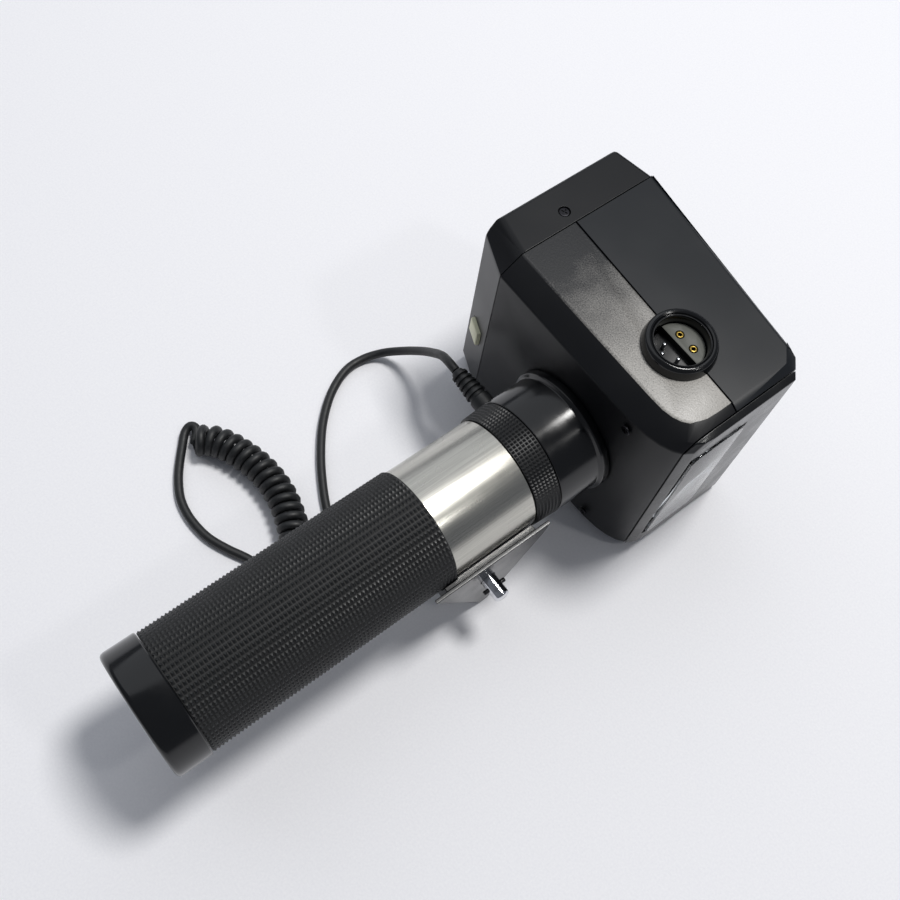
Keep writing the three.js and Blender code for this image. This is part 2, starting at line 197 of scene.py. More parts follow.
def refined(node_name, name, bevel=0.5 * MM, segments=3):
    """A copy of a CAD node with its flats merged and its sharp edges rounded."""
    piece = bpy.data.objects.new(name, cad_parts[node_name].data.copy())
    piece.data.name = name
    bpy.context.scene.collection.objects.link(piece)
    edit(piece)
    bpy.ops.mesh.remove_doubles(threshold=0.002 * MM)
    bpy.ops.mesh.dissolve_limited(angle_limit=math.radians(1))
    leave_edit()
    if bevel:
        modify(piece, "BEVEL", width=bevel, segments=segments, limit_method="ANGLE",
               angle_limit=math.radians(SHARP), use_clamp_overlap=False, miter_outer="MITER_ARC")
    return piece


def softened(node_name, name, soft, is_soft, tight=0.18 * MM):
    """A refined node whose sharp edges are rounded wide where is_soft(start, end) says so."""
    piece = refined(node_name, name, 0)
    edit(piece, "DESELECT")
    bpy.ops.mesh.select_mode(type="EDGE")
    bpy.ops.mesh.edges_select_sharp(sharpness=math.radians(SHARP))
    leave_edit()
    weights = piece.data.attributes.new("bevel_weight_edge", "FLOAT", "EDGE")
    vertices = piece.data.vertices
    for edge in piece.data.edges:
        if edge.select:
            start, end = (vertices[i].co for i in edge.vertices)
            weights.data[edge.index].value = 1 if is_soft(start, end) else tight / soft
    modify(piece, "BEVEL", width=soft, segments=4, limit_method="WEIGHT", use_clamp_overlap=False,
           miter_outer="MITER_ARC")
    return piece


def spun(name, profile, axis, origin, segments=48):
    """A solid of revolution: (radius, height) points in mm, turned about the axis at the origin."""
    axis = Vector(axis).normalized()
    side = axis.orthogonal().normalized()
    points = [origin + side * (radius * MM) + axis * (height * MM) for radius, height in profile]
    bpy.ops.object.select_all(action="DESELECT")
    bpy.ops.mesh.primitive_plane_add(size=1 * MM, location=points[0])
    piece = named(name)
    settle(piece)
    edit(piece)
    bpy.ops.mesh.merge(type="CENTER")
    for here, there in zip(points, points[1:]):
        bpy.ops.mesh.extrude_region_move(TRANSFORM_OT_translate={"value": there - here})
    bpy.ops.mesh.select_all(action="SELECT")
    bpy.ops.mesh.spin(steps=segments, angle=FULL_TURN, center=origin, axis=axis)
    bpy.ops.mesh.select_all(action="SELECT")
    bpy.ops.mesh.remove_doubles(threshold=0.01 * MM)
    bpy.ops.mesh.normals_make_consistent(inside=False)
    leave_edit()
    return piece


def studded(name, y_low, y_high, radius_low, radius_high, bore, around, pitch, gap, relief):
    """A sleeve along the grip whose whole outside is rows of little truncated pyramids."""
    length = y_high - y_low
    rows = round(length / pitch)
    centre = DATUM + Vector((0, (y_low + y_high) / 2, 0))
    bpy.ops.object.select_all(action="DESELECT")
    bpy.ops.mesh.primitive_cone_add(
        vertices=around, radius1=radius_low, radius2=radius_high, depth=length,
        end_fill_type="NOTHING", location=centre, rotation=(-math.pi / 2, 0, 0))
    piece = named(name)
    settle(piece)
    edit(piece, "DESELECT")
    bpy.ops.mesh.select_mode(type="EDGE")
    leave_edit()
    vertices = piece.data.vertices
    for edge in piece.data.edges:
        start, end = (vertices[i].co.y for i in edge.vertices)
        edge.select = abs(start - end) > length / 2
    bpy.ops.object.mode_set(mode="EDIT")
    bpy.ops.mesh.subdivide(number_cuts=rows - 1)
    bpy.ops.mesh.select_all(action="SELECT")
    bpy.ops.mesh.inset(thickness=gap / 2, depth=0, use_individual=True, use_even_offset=True)
    bpy.ops.mesh.poke(offset=relief)
    bpy.ops.mesh.select_all(action="DESELECT")
    bpy.ops.mesh.select_non_manifold()
    bpy.ops.mesh.extrude_edges_move()
    shrink = bore / radius_low
    bpy.ops.transform.resize(value=(shrink, 1, shrink), center_override=centre)
    bpy.ops.mesh.bridge_edge_loops()
    bpy.ops.mesh.select_all(action="SELECT")
    bpy.ops.mesh.normals_make_consistent(inside=False)
    leave_edit()
    return piece


def cut_out(piece, cutter):
    """Takes the cutter's shape out of the piece, and throws the cutter away."""
    modify(piece, "BOOLEAN", operation="DIFFERENCE", object=cutter, solver="EXACT")
    bpy.data.objects.remove(cutter)


# ---- Materials ------------------------------------------------------------------------


def linear(hex_colour):
    """An sRGB hex value as linear RGBA."""
    channels = (int(hex_colour[i:i + 2], 16) / 255 for i in (1, 3, 5))
    return tuple(c / 12.92 if c <= 0.04045 else ((c + 0.055) / 1.055) ** 2.4 for c in channels) + (1,)


def node(tree, kind, inputs=(), **settings):
    """Adds a shader node. An input is a value or another node's socket."""
    added = tree.nodes.new("ShaderNode" + kind)
    for key, value in settings.items():
        setattr(added, key, value)
    for key, value in dict(inputs).items():
        if isinstance(value, bpy.types.NodeSocket):
            tree.links.new(value, added.inputs[key])
        else:
            added.inputs[key].default_value = value
    return added


def new_material(name, **sockets):
    """A material, its tree, its shader with these socket values, and its Object coordinates."""
    material = bpy.data.materials.new(name)
    material.use_nodes = True
    tree = material.node_tree
    shader = tree.nodes["Principled BSDF"]
    for key, value in sockets.items():
        shader.inputs[key.replace("_", " ")].default_value = value
    coordinates = tree.nodes.new("ShaderNodeTexCoord")
    return material, tree, shader, coordinates.outputs["Object"]


def ramp(tree, factor, low, high, low_at=0.0, high_at=1.0):
    """A blend from one colour to another as the factor goes from low_at to high_at."""
    added = node(tree, "ValToRGB", {"Fac": factor})
    added.color_ramp.elements[0].position = low_at
    added.color_ramp.elements[1].position = high_at
    added.color_ramp.elements[0].color = low
    added.color_ramp.elements[1].color = high
    return added.outputs["Color"]


def grey(value):
    return (value, value, value, 1)


def spread(tree, where, size, detail=3.0, stretch=(1, 1, 1)):
    """Noise whose blotches measure about `size` metres, drawn out along the axes by `stretch`."""
    mapped = node(tree, "Mapping", {"Vector": where, "Scale": tuple(1 / s for s in stretch)})
    noise = node(tree, "TexNoise", {
        "Vector": mapped.outputs["Vector"], "Scale": 1 / size, "Detail": detail})
    return noise.outputs["Fac"]


def bump(tree, shader, height, depth, strength=1.0, under=None):
    """Relief `depth` metres deep on the shader, over the relief under it if there is one."""
    inputs = {"Height": height, "Distance": depth, "Strength": strength}
    if under is not None:
        inputs["Normal"] = under
    added = node(tree, "Bump", inputs)
    tree.links.new(added.outputs["Normal"], shader.inputs["Normal"])
    return added.outputs["Normal"]


def mix(tree, factor, first, second):
    """A colour between the first and the second."""
    added = node(tree, "Mix", {"Factor": factor}, data_type="RGBA")
    for socket, value in ((6, first), (7, second)):
        if isinstance(value, bpy.types.NodeSocket):
            tree.links.new(value, added.inputs[socket])
        else:
            added.inputs[socket].default_value = value
    return added.outputs[2]


def moulded_abs(name, hex_colour, roughness, grain=0.35 * MM, grain_depth=0.02 * MM, dust=0.12):
    """Injection-moulded ABS from a spark-eroded mould: a fine even grain, and dust held in it."""
    material, tree, shader, where = new_material(name, IOR=1.5, Specular_IOR_Level=0.3)
    fine = spread(tree, where, grain, 2)
    cloud = spread(tree, where, 30 * MM, 2)
    base = linear(hex_colour)
    dusty = tuple(c + dust * 0.12 for c in base[:3]) + (1,)
    tree.links.new(ramp(tree, cloud, base, dusty, 0.42, 0.75), shader.inputs["Base Color"])
    tree.links.new(ramp(tree, cloud, grey(roughness), grey(roughness + 0.05), 0.35, 0.7),
                   shader.inputs["Roughness"])
    bump(tree, shader, fine, grain_depth, 0.6)
    return material


def band_wear_and_painted_sheen(name, hex_colour):
    """Grained ABS band: specks painted light grey in random patches of wear, and more towards the front
    as painted sheen.
    """
    material, tree, shader, where = new_material(name, IOR=1.53)
    axes = node(tree, "SeparateXYZ", {"Vector": where})
    # Painted sheen: this mask makes the grain specks lighter towards the front, where the lamp glints
    # on the band.
    forward = node(tree, "MapRange", {
        "Value": axes.outputs["X"], "From Min": DATUM.x - 50 * MM, "From Max": DATUM.x + 40 * MM,
        "To Min": 0.0, "To Max": 1.0}).outputs["Result"]
    grain = node(tree, "TexVoronoi", {"Vector": where, "Scale": 1 / (0.75 * MM)}).outputs["Distance"]
    fine = spread(tree, where, 0.5 * MM, 4)
    cloud = spread(tree, where, 11 * MM, 5)
    patches_and_painted_sheen = node(tree, "Math", {0: cloud, 1: 0.35, 2: forward}, operation="MULTIPLY_ADD").outputs[0]
    wear_and_painted_sheen = node(tree, "MapRange", {"Value": patches_and_painted_sheen, "From Min": 0.25, "From Max": 1.15,
                                     "To Min": 0.05, "To Max": 0.95}).outputs["Result"]
    speck = node(tree, "Math", {0: fine, 1: wear_and_painted_sheen}, operation="MULTIPLY").outputs[0]
    base = linear(hex_colour)
    # The specks are painted light grey: random patches of wear, plus a painted sheen that grows towards
    # the front.
    tree.links.new(ramp(tree, speck, base, linear("#a09d98"), 0.08, 0.42), shader.inputs["Base Color"])
    tree.links.new(ramp(tree, fine, grey(0.30), grey(0.5), 0.3, 0.7), shader.inputs["Roughness"])
    first = bump(tree, shader, grain, 0.05 * MM, 0.7)
    bump(tree, shader, fine, 0.05 * MM, 0.8, first)
    return material


def gloss_black(name, hex_colour="#0c0d0f", roughness=0.16, marked=True):
    """Polished black: deep gloss, and on a marked one hairline scratches that break the highlights."""
    material, tree, shader, where = new_material(name, IOR=1.5)
    shader.inputs["Base Color"].default_value = linear(hex_colour)
    cloud = spread(tree, where, 9 * MM, 3)
    tree.links.new(ramp(tree, cloud, grey(roughness), grey(roughness + 0.09), 0.4, 0.75),
                   shader.inputs["Roughness"])
    if marked:
        bump(tree, shader, spread(tree, where, 0.6 * MM, 3, (14, 1, 1)), 0.004 * MM, 0.5)
    return material


def grip_rubber(name, hex_colour):
    """Moulded nitrile rubber: matt, with polished pyramid tops and painted shade in the grooves."""
    material, tree, shader, where = new_material(name, IOR=1.5)
    axes = node(tree, "SeparateXYZ", {"Vector": where})
    flat = node(tree, "CombineXYZ", {"X": axes.outputs["X"], "Y": 0.0, "Z": axes.outputs["Z"]})
    middle = (DATUM.x, 0.0, DATUM.z)
    reach = node(tree, "VectorMath", {0: flat.outputs["Vector"], 1: middle}, operation="DISTANCE")
    raised = node(tree, "MapRange", {
        "Value": reach.outputs["Value"], "From Min": 23.7 * MM, "From Max": 24.15 * MM,
        "To Min": 0.0, "To Max": 1.0}).outputs["Result"]
    cloud = spread(tree, where, 12 * MM, 4)
    base = linear(hex_colour)
    # Painted shade: the grooves between the pyramids are painted near black, darker than the tops.
    tree.links.new(mix(tree, raised, linear("#08090a"), base), shader.inputs["Base Color"])
    polished = node(tree, "Math", {0: raised, 1: cloud}, operation="MULTIPLY").outputs[0]
    tree.links.new(ramp(tree, polished, grey(0.6), grey(0.27), 0.15, 0.55), shader.inputs["Roughness"])
    bump(tree, shader, spread(tree, where, 0.3 * MM, 3), 0.01 * MM, 0.6)
    return material


def brushed_steel(name, hex_colour):
    """Stainless tube finished on a belt: lengthwise hairlines and soft long highlights."""
    material, tree, shader, where = new_material(name, Metallic=1.0)
    lines = spread(tree, where, 0.3 * MM, 3, (1, 120, 1))
    cloud = spread(tree, where, 16 * MM, 3)
    base = linear(hex_colour)
    dull = tuple(c * 0.8 for c in base[:3]) + (1,)
    tree.links.new(ramp(tree, lines, dull, base, 0.35, 0.6), shader.inputs["Base Color"])
    tree.links.new(ramp(tree, cloud, grey(0.24), grey(0.29), 0.3, 0.7), shader.inputs["Roughness"])
    return material


def plated(name, hex_colour, roughness, stain="#77777a"):
    """Bright plated or turned metal with a trace of handling film."""
    material, tree, shader, where = new_material(name, Metallic=1.0)
    film = spread(tree, where, 2.5 * MM, 4)
    tree.links.new(ramp(tree, film, linear(hex_colour), linear(stain), 0.5, 0.95),
                   shader.inputs["Base Color"])
    tree.links.new(ramp(tree, film, grey(roughness), grey(roughness + 0.12), 0.4, 0.8),
                   shader.inputs["Roughness"])
    return material


def clear_acrylic(name):
    """Cast acrylic pane: clear, with a faint mould ripple."""
    material, tree, shader, where = new_material(
        name, Transmission_Weight=1.0, IOR=1.49, Roughness=0.02)
    shader.inputs["Base Color"].default_value = linear("#eef3f5")
    bump(tree, shader, spread(tree, where, 7 * MM, 1), 0.03 * MM, 0.2)
    return material


def lead_jacket(name):
    """Soft PVC lead jacket: satin black with fine lint."""
    material, tree, shader, where = new_material(name, IOR=1.53)
    lint = spread(tree, where, 1.2 * MM, 4)
    tree.links.new(ramp(tree, lint, linear("#0f1113"), linear("#1a1c1f"), 0.45, 0.8),
                   shader.inputs["Base Color"])
    tree.links.new(ramp(tree, lint, grey(0.46), grey(0.6), 0.3, 0.7), shader.inputs["Roughness"])
    bump(tree, shader, lint, 0.01 * MM, 0.4)
    return material


def flat_finish(name, hex_colour, roughness, metallic=0.0):
    """Hidden works: laminate, wrapped cells and potted parts with light mottling."""
    material, tree, shader, where = new_material(name, Metallic=metallic)
    base = linear(hex_colour)
    shade = tuple(c * 0.7 for c in base[:3]) + (1,)
    mottle = spread(tree, where, 3 * MM, 3)
    tree.links.new(ramp(tree, mottle, shade, base, 0.3, 0.7), shader.inputs["Base Color"])
    shader.inputs["Roughness"].default_value = roughness
    return material


def paper(name):
    """Matt seamless background paper."""
    material, tree, shader, where = new_material(name, Roughness=0.9)
    fibre = spread(tree, where, 0.9 * MM, 3)
    tree.links.new(ramp(tree, fibre, linear("#eeeef2"), linear("#f4f4f7"), 0.3, 0.7),
                   shader.inputs["Base Color"])
    return material


FINISH = {}


def make_finishes():
    """Makes every material once, for the pieces that share it."""
    tone = colours()
    FINISH.update({
        "black_abs": moulded_abs("black_abs_moulded", tone.shell, 0.36, 0.35 * MM, 0.014 * MM, 0.02),
        "cover": moulded_abs("black_abs_cover", tone.shell, 0.34, 0.5 * MM, 0.012 * MM, 0.02),
        "plate": gloss_black("black_enamel_on_steel", "#0b0c0e", 0.19, marked=False),
        "slate_abs": moulded_abs("slate_abs_moulded", tone.slate, 0.33, 0.45 * MM, 0.012 * MM, 0.02),
        # The band's grain specks carry a painted sheen that grows towards the front.
        "band": band_wear_and_painted_sheen("grained_abs_wear_and_painted_sheen", tone.shell),
        "gloss": gloss_black("black_acetal_polished", "#0a0b0d", 0.14),
        "frame": gloss_black("black_abs_polished", "#0e0f11", 0.24),
        "rubber": grip_rubber("nitrile_rubber_moulded", tone.rubber),
        "ring": moulded_abs("black_nylon_knurled", "#121315", 0.4, 0.3 * MM, 0.01 * MM, 0.03),
        "steel": brushed_steel("stainless_steel_brushed", tone.steel),
        "screw": plated("black_oxide_screw", "#2b2b2e", 0.35, "#161618"),
        "chrome": plated("chromium_plate", "#dcdde0", 0.06),
        "mirror": plated("aluminised_reflector", "#c9ccd0", 0.12, "#8b8e92"),
        "brass": plated("brass_turned", "#7d6a34", 0.3, "#40361c"),
        "ivory": moulded_abs("ivory_abs_moulded", tone.ivory, 0.42, 0.4 * MM, 0.01 * MM, 0.3),
        "clear": clear_acrylic("acrylic_clear"),
        "quartz": gloss_black("quartz_smoked", "#23282e", 0.08),
        "lead": lead_jacket("pvc_lead_jacket"),
        "insulator": moulded_abs("phenolic_insulator", "#5a5b56", 0.5, 0.3 * MM, 0.01 * MM, 0.05),
        "board": flat_finish("glass_laminate", "#35522f", 0.55),
        "cell": flat_finish("wrapped_cell", "#4f545b", 0.4, 0.2),
    })


# ---- Stage ----------------------------------------------------------------------------


LENS = 44
CAMERA_PLACE = (0.1035, -0.0041, 0.3793)
CAMERA_HEADING, CAMERA_TILT, CAMERA_ROLL = (math.radians(angle) for angle in (41.68, 25.72, 11.94))
LIGHTS_MIDDLE = (-0.01, 0.12, 0)
LIGHTS_REACH = 1.7
# Name, direction from the middle, disk size in metres, watts and colour.
LIGHTS = (
    ("ceiling_lamp", (0.02, 0.35, 0.93), 0.42, 20, (1, 0.99, 0.97)),
    ("ceiling_lamp_far", (0.52, 0.32, 0.79), 0.14, 1.6, (1, 0.99, 0.97)),
    ("window", (-0.7, 0.16, 0.7), 2.6, 11, (0.93, 0.96, 1)),
)


def add_camera():
    """Stands the camera above and beside the grip, turned a little about its line of sight."""
    data = bpy.data.cameras.new("camera")
    data.sensor_width = 36
    data.lens = LENS
    camera = bpy.data.objects.new("camera", data)
    turn = (Matrix.Rotation(CAMERA_HEADING, 4, "Z") @ Matrix.Rotation(CAMERA_TILT, 4, "X")
            @ Matrix.Rotation(CAMERA_ROLL, 4, "Z"))
    camera.matrix_world = Matrix.Translation(at(*CAMERA_PLACE)) @ turn
    bpy.context.scene.collection.objects.link(camera)
    bpy.context.scene.camera = camera


def add_area_light(name, place, target, size, watts, colour):
    """Hangs a round soft light that faces its target."""
    data = bpy.data.lights.new(name, "AREA")
    data.shape = "DISK"
    data.size = size
    data.energy = watts
    data.color = colour
    light = bpy.data.objects.new(name, data)
    light.location = place
    light.rotation_euler = (target - place).to_track_quat("-Z", "Y").to_euler()
    bpy.context.scene.collection.objects.link(light)


class FLASH_OT_stage(bpy.types.Operator):
    """Lay the paper, set the world and hang the lights"""

    bl_idname = "flash.stage"
    bl_label = "Stage"

    def execute(self, context):
        scene = context.scene
        scene.view_settings.view_transform = "Standard"
        bpy.ops.object.select_all(action="DESELECT")
        bpy.ops.mesh.primitive_plane_add(size=6, location=(0, 0, FLOOR - 0.05 * MM))
        floor = named("paper")
        settle(floor)
        floor.data.materials.append(paper("background_paper"))
        world = bpy.data.worlds.new("studio")
        world.use_nodes = True
        sky = world.node_tree.nodes["Background"].inputs
        sky["Color"].default_value = linear("#e3e9f5")
        sky["Strength"].default_value = 0.2
        scene.world = world
        middle = at(*LIGHTS_MIDDLE)
        for name, direction, size, watts, colour in LIGHTS:
            place = middle + LIGHTS_REACH * Vector(direction)
            add_area_light(name, place, middle, size, watts, colour)
        return {"FINISHED"}


# ---- Leads ----------------------------------------------------------------------------

# Every route is in metres from the datum. LIE is the height of the lead's middle where it lies down.
LIE = -0.048
LEAD_ROUTE = [
    (-0.0465, 0.158, -0.006), (-0.051, 0.1583, -0.0066), (-0.057, 0.1598, -0.011),
    (-0.0634, 0.1612, -0.019), (-0.0715, 0.1614, -0.029), (-0.0806, 0.1586, -0.039),
    (-0.088, 0.1526, -0.0456), (-0.0914, 0.144, LIE), (-0.0906, 0.1346, LIE),
    (-0.0849, 0.1234, LIE), (-0.0754, 0.1126, LIE), (-0.064, 0.1036, LIE), (-0.0531, 0.0968, LIE),
    (-0.0414, 0.091, LIE), (-0.028, 0.087, LIE), (-0.0164, 0.084, LIE), (-0.0094, 0.0776, LIE),
    (-0.011, 0.0696, LIE), (-0.018, 0.0664, LIE), (-0.0246, 0.0672, LIE + 0.0016),
]
COIL_AXIS = [
    (-0.0252, 0.0674), (-0.034, 0.071), (-0.044, 0.0752), (-0.0568, 0.0782), (-0.0706, 0.0778),
    (-0.084, 0.0738), (-0.0925, 0.0687), (-0.0972, 0.0618),
]
COIL_RADIUS = 0.0049
COIL_HEIGHT = -0.04305
COIL_EASE = 3 * MM
COLLAR_RADIUS = 25.1
TAIL_ROUTE = [
    (-0.1003, 0.0652, LIE + 0.0016), (-0.1036, 0.0668, LIE + 0.0016), (-0.1056, 0.0652, LIE + 0.0012),
    (-0.1046, 0.0621, LIE + 0.0004), (-0.1006, 0.0584, LIE), (-0.0937, 0.0527, LIE),
    (-0.0877, 0.0485, LIE), (-0.0804, 0.0449, LIE), (-0.0727, 0.0434, LIE), (-0.065, 0.0436, LIE),
    (-0.058, 0.045, LIE), (-0.0501, 0.0484, LIE), (-0.0422, 0.0526, LIE), (-0.034, 0.0556, LIE),
    (-0.0264, 0.056, LIE),
]


def smooth_line(points, steps=10):
    """A curve through every point, tangent at each to the line between its neighbours."""
    points = [Vector(point) for point in points]
    ends = [2 * points[0] - points[1]] + points + [2 * points[-1] - points[-2]]
    line = []
    for before, start, end, after in zip(ends, ends[1:], ends[2:], ends[3:]):
        for step in range(steps):
            t = step / steps
            line.append(0.5 * (2 * start + (end - before) * t
                               + (2 * before - 5 * start + 4 * end - after) * t ** 2
                               + (3 * start - before - 3 * end + after) * t ** 3))
    return line + [points[-1]]


def even_line(line, spacing):
    """The same line with its points at even distances."""
    evened = [line[0]]
    carried = 0.0
    for start, end in zip(line, line[1:]):
        length = (end - start).length
        reach = spacing - carried
        while reach <= length:
            evened.append(start.lerp(end, reach / length))
            reach += spacing
        carried = length - (reach - spacing)
    return evened


def ease(value):
    """Goes from 0 to 1 with a level start and end."""
    value = min(max(value, 0.0), 1.0)
    return value * value * (3 - 2 * value)


def coil_line(pitch):
    """The helix: it starts low and close to its axis, where the lead meets it, and ends low too."""
    spacing = 0.22 * MM
    axis = even_line(smooth_line([(x, y, COIL_HEIGHT) for x, y in COIL_AXIS], 24), spacing)
    total = (len(axis) - 1) * spacing
    near_end = [ease(min(i * spacing, total - i * spacing) / COIL_EASE) for i in range(len(axis))]
    turns = round(sum(near_end) * spacing / pitch) + 0.08
    line = []
    angle = 0.0
    for index, centre in enumerate(axis):
        ahead = axis[min(index + 1, len(axis) - 1)] - axis[max(index - 1, 0)]
        side = ahead.normalized().cross(Vector((0, 0, 1)))
        radius = COIL_RADIUS * (0.7 + 0.3 * near_end[index])
        line.append(centre + radius * (math.sin(angle) * side - math.cos(angle) * Vector((0, 0, 1))))
        angle += FULL_TURN * turns * near_end[index] / sum(near_end)
    return line


class FLASH_OT_leads(bpy.types.Operator):
    """Run the synchronising lead, with its coil, from the collar to the camera plug"""

    bl_idname = "flash.leads"
    bl_label = "Leads"

    def execute(self, context):
        size = sizes()
        boot = [(0, 0), (2.3, 0), (2.6, 0.6)]
        for rib in range(5):
            base = 1.4 + rib * 2.5
            width = 2.7 + rib * 0.22
            boot += [(width, base), (width + 0.75, base + 0.25), (width + 0.85, base + 1.3),
                     (width, base + 1.6)]
        boot += [(3.7, 14.2), (4.4, 14.8), (4.4, 20.2), (0, 20.2)]
        boot_start = at(*LEAD_ROUTE[0])
        boot_start.x = corners("strain_relief")[0].x
        relief = spun("strain_relief_boot", boot, (1, 0, 0), boot_start)
        collar_outline = [(0, 0), (COLLAR_RADIUS, 0), (COLLAR_RADIUS, 30), (0, 30)]
        cut_out(relief, spun("collar_clear", collar_outline, (0, 1, 0), at(0, 0.145, 0), 96))
        finish_piece(relief, "head", FINISH["lead"], ["strain_relief"])
        plug_low, plug_high = corners("camera_plug")
        plug_axis = Vector((plug_low.x, (plug_low.y + plug_high.y) / 2, (plug_low.z + plug_high.z) / 2))
        sleeve = [(0, 0), (2.3, 0), (2.6, 0.5), (3.5, 5.4), (3.9, 6.4)]
        for ridge in range(6):
            base = 7 + ridge * 1.5
            sleeve += [(3.9, base), (3.9, base + 0.9), (3.6, base + 1.1), (3.6, base + 1.4)]
        sleeve += [(3.9, 16.4), (3.6, 17), (2.5, 17), (2.4, 21.6), (1.9, 22), (1.7, 22), (1.7, 18.6),
                   (0.5, 18.6), (0.5, 21.4), (0, 21.6)]
        plug = spun("camera_plug_body", sleeve, (1, 0, 0), plug_axis)
        finish_piece(plug, "head", FINISH["gloss"], ["camera_plug"])

        line = smooth_line(LEAD_ROUTE)[:-1] + coil_line(size.coil_pitch) + smooth_line(TAIL_ROUTE)[1:]
        data = bpy.data.curves.new("sync_lead", "CURVE")
        data.dimensions = "3D"
        data.bevel_depth = size.lead_diameter / 2
        data.bevel_resolution = 4
        data.use_fill_caps = True
        spline = data.splines.new("POLY")
        spline.points.add(len(line) - 1)
        for point, place in zip(spline.points, line):
            point.co = (*at(*place), 1)
        spline.use_smooth = True
        lead = bpy.data.objects.new("sync_lead", data)
        context.scene.collection.objects.link(lead)
        data.materials.append(FINISH["lead"])
        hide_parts("lead_cord", "lead_coil", "tail_cord")
        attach(lead, "head")
        return {"FINISHED"}


# ---- Grip -----------------------------------------------------------------------------


class FLASH_OT_grip(bpy.types.Operator):
    """Model the rubber sleeve, the steel tube and the butt cap"""

    bl_idname = "flash.grip"
    bl_label = "Grip"

    def execute(self, context):
        size = sizes()
        outer = (SLEEVE_HIGH.x - SLEEVE_LOW.x) / 2
        valley = outer - size.grip_relief / 2
        rubber = studded(
            "grip_rubber", SLEEVE_LOW.y - DATUM.y, SLEEVE_HIGH.y - DATUM.y, valley, valley,
            outer - 0.65 * MM, size.grip_rows, size.grip_pitch, 0.3 * MM, size.grip_relief)
        finish_piece(rubber, "grip", FINISH["rubber"], ["grip_sleeve"], smooth=20)
        tube = refined("handle_tube", "steel_tube", 0.3 * MM)
        finish_piece(tube, "grip", FINISH["steel"], ["handle_tube"])
        end = (DATUM.y - corners("butt_cap")[0].y) / MM
        outline = [(0, -end + 0.9), (20.4, -end + 0.9), (21.2, -end + 0.1), (21.8, -end), (22.9, -end),
                   (23.8, -end + 0.3), (24.35, -end + 0.9), (24.6, -end + 1.9), (24.6, -0.5),
                   (24.3, -0.1), (23.8, 0), (21.7, 0), (21.7, 8), (18.5, 8), (18.5, -end + 3),
                   (0, -end + 3)]
        cap = spun("butt_cap_shell", outline, (0, 1, 0), DATUM, 128)
        finish_piece(cap, "cap", FINISH["gloss"], ["butt_cap"])
        return {"FINISHED"}


# ---- Neck -----------------------------------------------------------------------------


class FLASH_OT_neck(bpy.types.Operator):
    """Model the knurled locking ring and the flanged collar"""

    bl_idname = "flash.neck"
    bl_label = "Neck"

    def execute(self, context):
        size = sizes()
        low, high = corners("locking_ring")
        outer = (high.x - low.x) / 2
        ring = studded(
            "knurled_ring", low.y - DATUM.y, high.y - DATUM.y, outer - 1.15 * MM, outer - 0.55 * MM,
            19.8 * MM, size.knurl_rows, size.knurl_pitch, 0.3 * MM, 0.5 * MM)
        finish_piece(ring, "ring", FINISH["ring"], ["locking_ring"], smooth=20)
        collar = refined("neck_collar", "flanged_collar", 0.35 * MM)
        finish_piece(collar, "head", FINISH["gloss"], ["neck_collar"])
        return {"FINISHED"}


# ---- Head -----------------------------------------------------------------------------


class FLASH_OT_shells(bpy.types.Operator):
    """Model the head's lower and upper shells, the back cover and the test button"""

    bl_idname = "flash.shells"
    bl_label = "Head shells"

    def execute(self, context):
        near_side = 40 * MM
        lower = softened("lower_shell", "head_lower", 0.7 * MM, lambda start, end: (
            abs(start.x - end.x) > 2 * MM and abs(start.z - DATUM.z) > near_side))
        finish_piece(lower, "head", FINISH["black_abs"], ["lower_shell"], smooth=25)
        lower.data.materials.append(FINISH["band"])
        for polygon in lower.data.polygons:
            side = abs(polygon.center.z - DATUM.z) > 49.3 * MM
            polygon.material_index = 1 if side and abs(polygon.normal.z) > 0.5 else 0
        top = corners("upper_shell")[1].y
        upper = softened("upper_shell", "head_upper", 1.8 * MM, lambda start, end: (
            abs(start.x - end.x) > 20 * MM and start.y > top - 13 * MM
            and abs(start.z - DATUM.z) > 47.4 * MM))
        finish_piece(upper, "head", FINISH["slate_abs"], ["upper_shell"], weighted=True)
        seam = corners("back_cover")[1].x
        cover = softened("back_cover", "head_back", 2 * MM, lambda start, end: (
            (start - end).length > 5 * MM and min(start.x, end.x) < seam - 1 * MM
            and (abs(start.z - DATUM.z) > near_side or start.y > top - 8 * MM
                 or start.x < seam - 15 * MM)))
        finish_piece(cover, "head", FINISH["cover"], ["back_cover"], weighted=True)
        button = refined("test_button", "ivory_button", 0.6 * MM)
        finish_piece(button, "button", FINISH["ivory"], ["test_button"])
        return {"FINISHED"}


class FLASH_OT_lamp(bpy.types.Operator):
    """Model the front frame, the window, the reflector and the flash tube"""

    bl_idname = "flash.lamp"
    bl_label = "Lamp"

    def execute(self, context):
        surround = refined("front_frame", "lamp_surround", 0.4 * MM)
        finish_piece(surround, "head", FINISH["frame"], ["front_frame"], weighted=True)
        pane = refined("lamp_window", "window_pane", 0.5 * MM)
        finish_piece(pane, "head", FINISH["clear"], ["lamp_window"], smooth=40)
        bowl = refined("reflector", "reflector_bowl", 0)
        finish_piece(bowl, "head", FINISH["mirror"], ["reflector"], smooth=20)
        low, high = corners("flash_tube")
        axis = Vector(((low.x + high.x) / 2, (low.y + high.y) / 2, low.z))
        length = (high.z - low.z) / MM
        glass = [(0, 0), (1.2, 0), (1.2, 2), (2.6, 2.6), (2.8, 4), (2.8, length - 4),
                 (2.6, length - 2.6), (1.2, length - 2), (1.2, length), (0, length)]
        tube = spun("flash_tube_glass", glass, (0, 0, 1), axis, 32)
        finish_piece(tube, "head", FINISH["quartz"], ["flash_tube"])
        return {"FINISHED"}


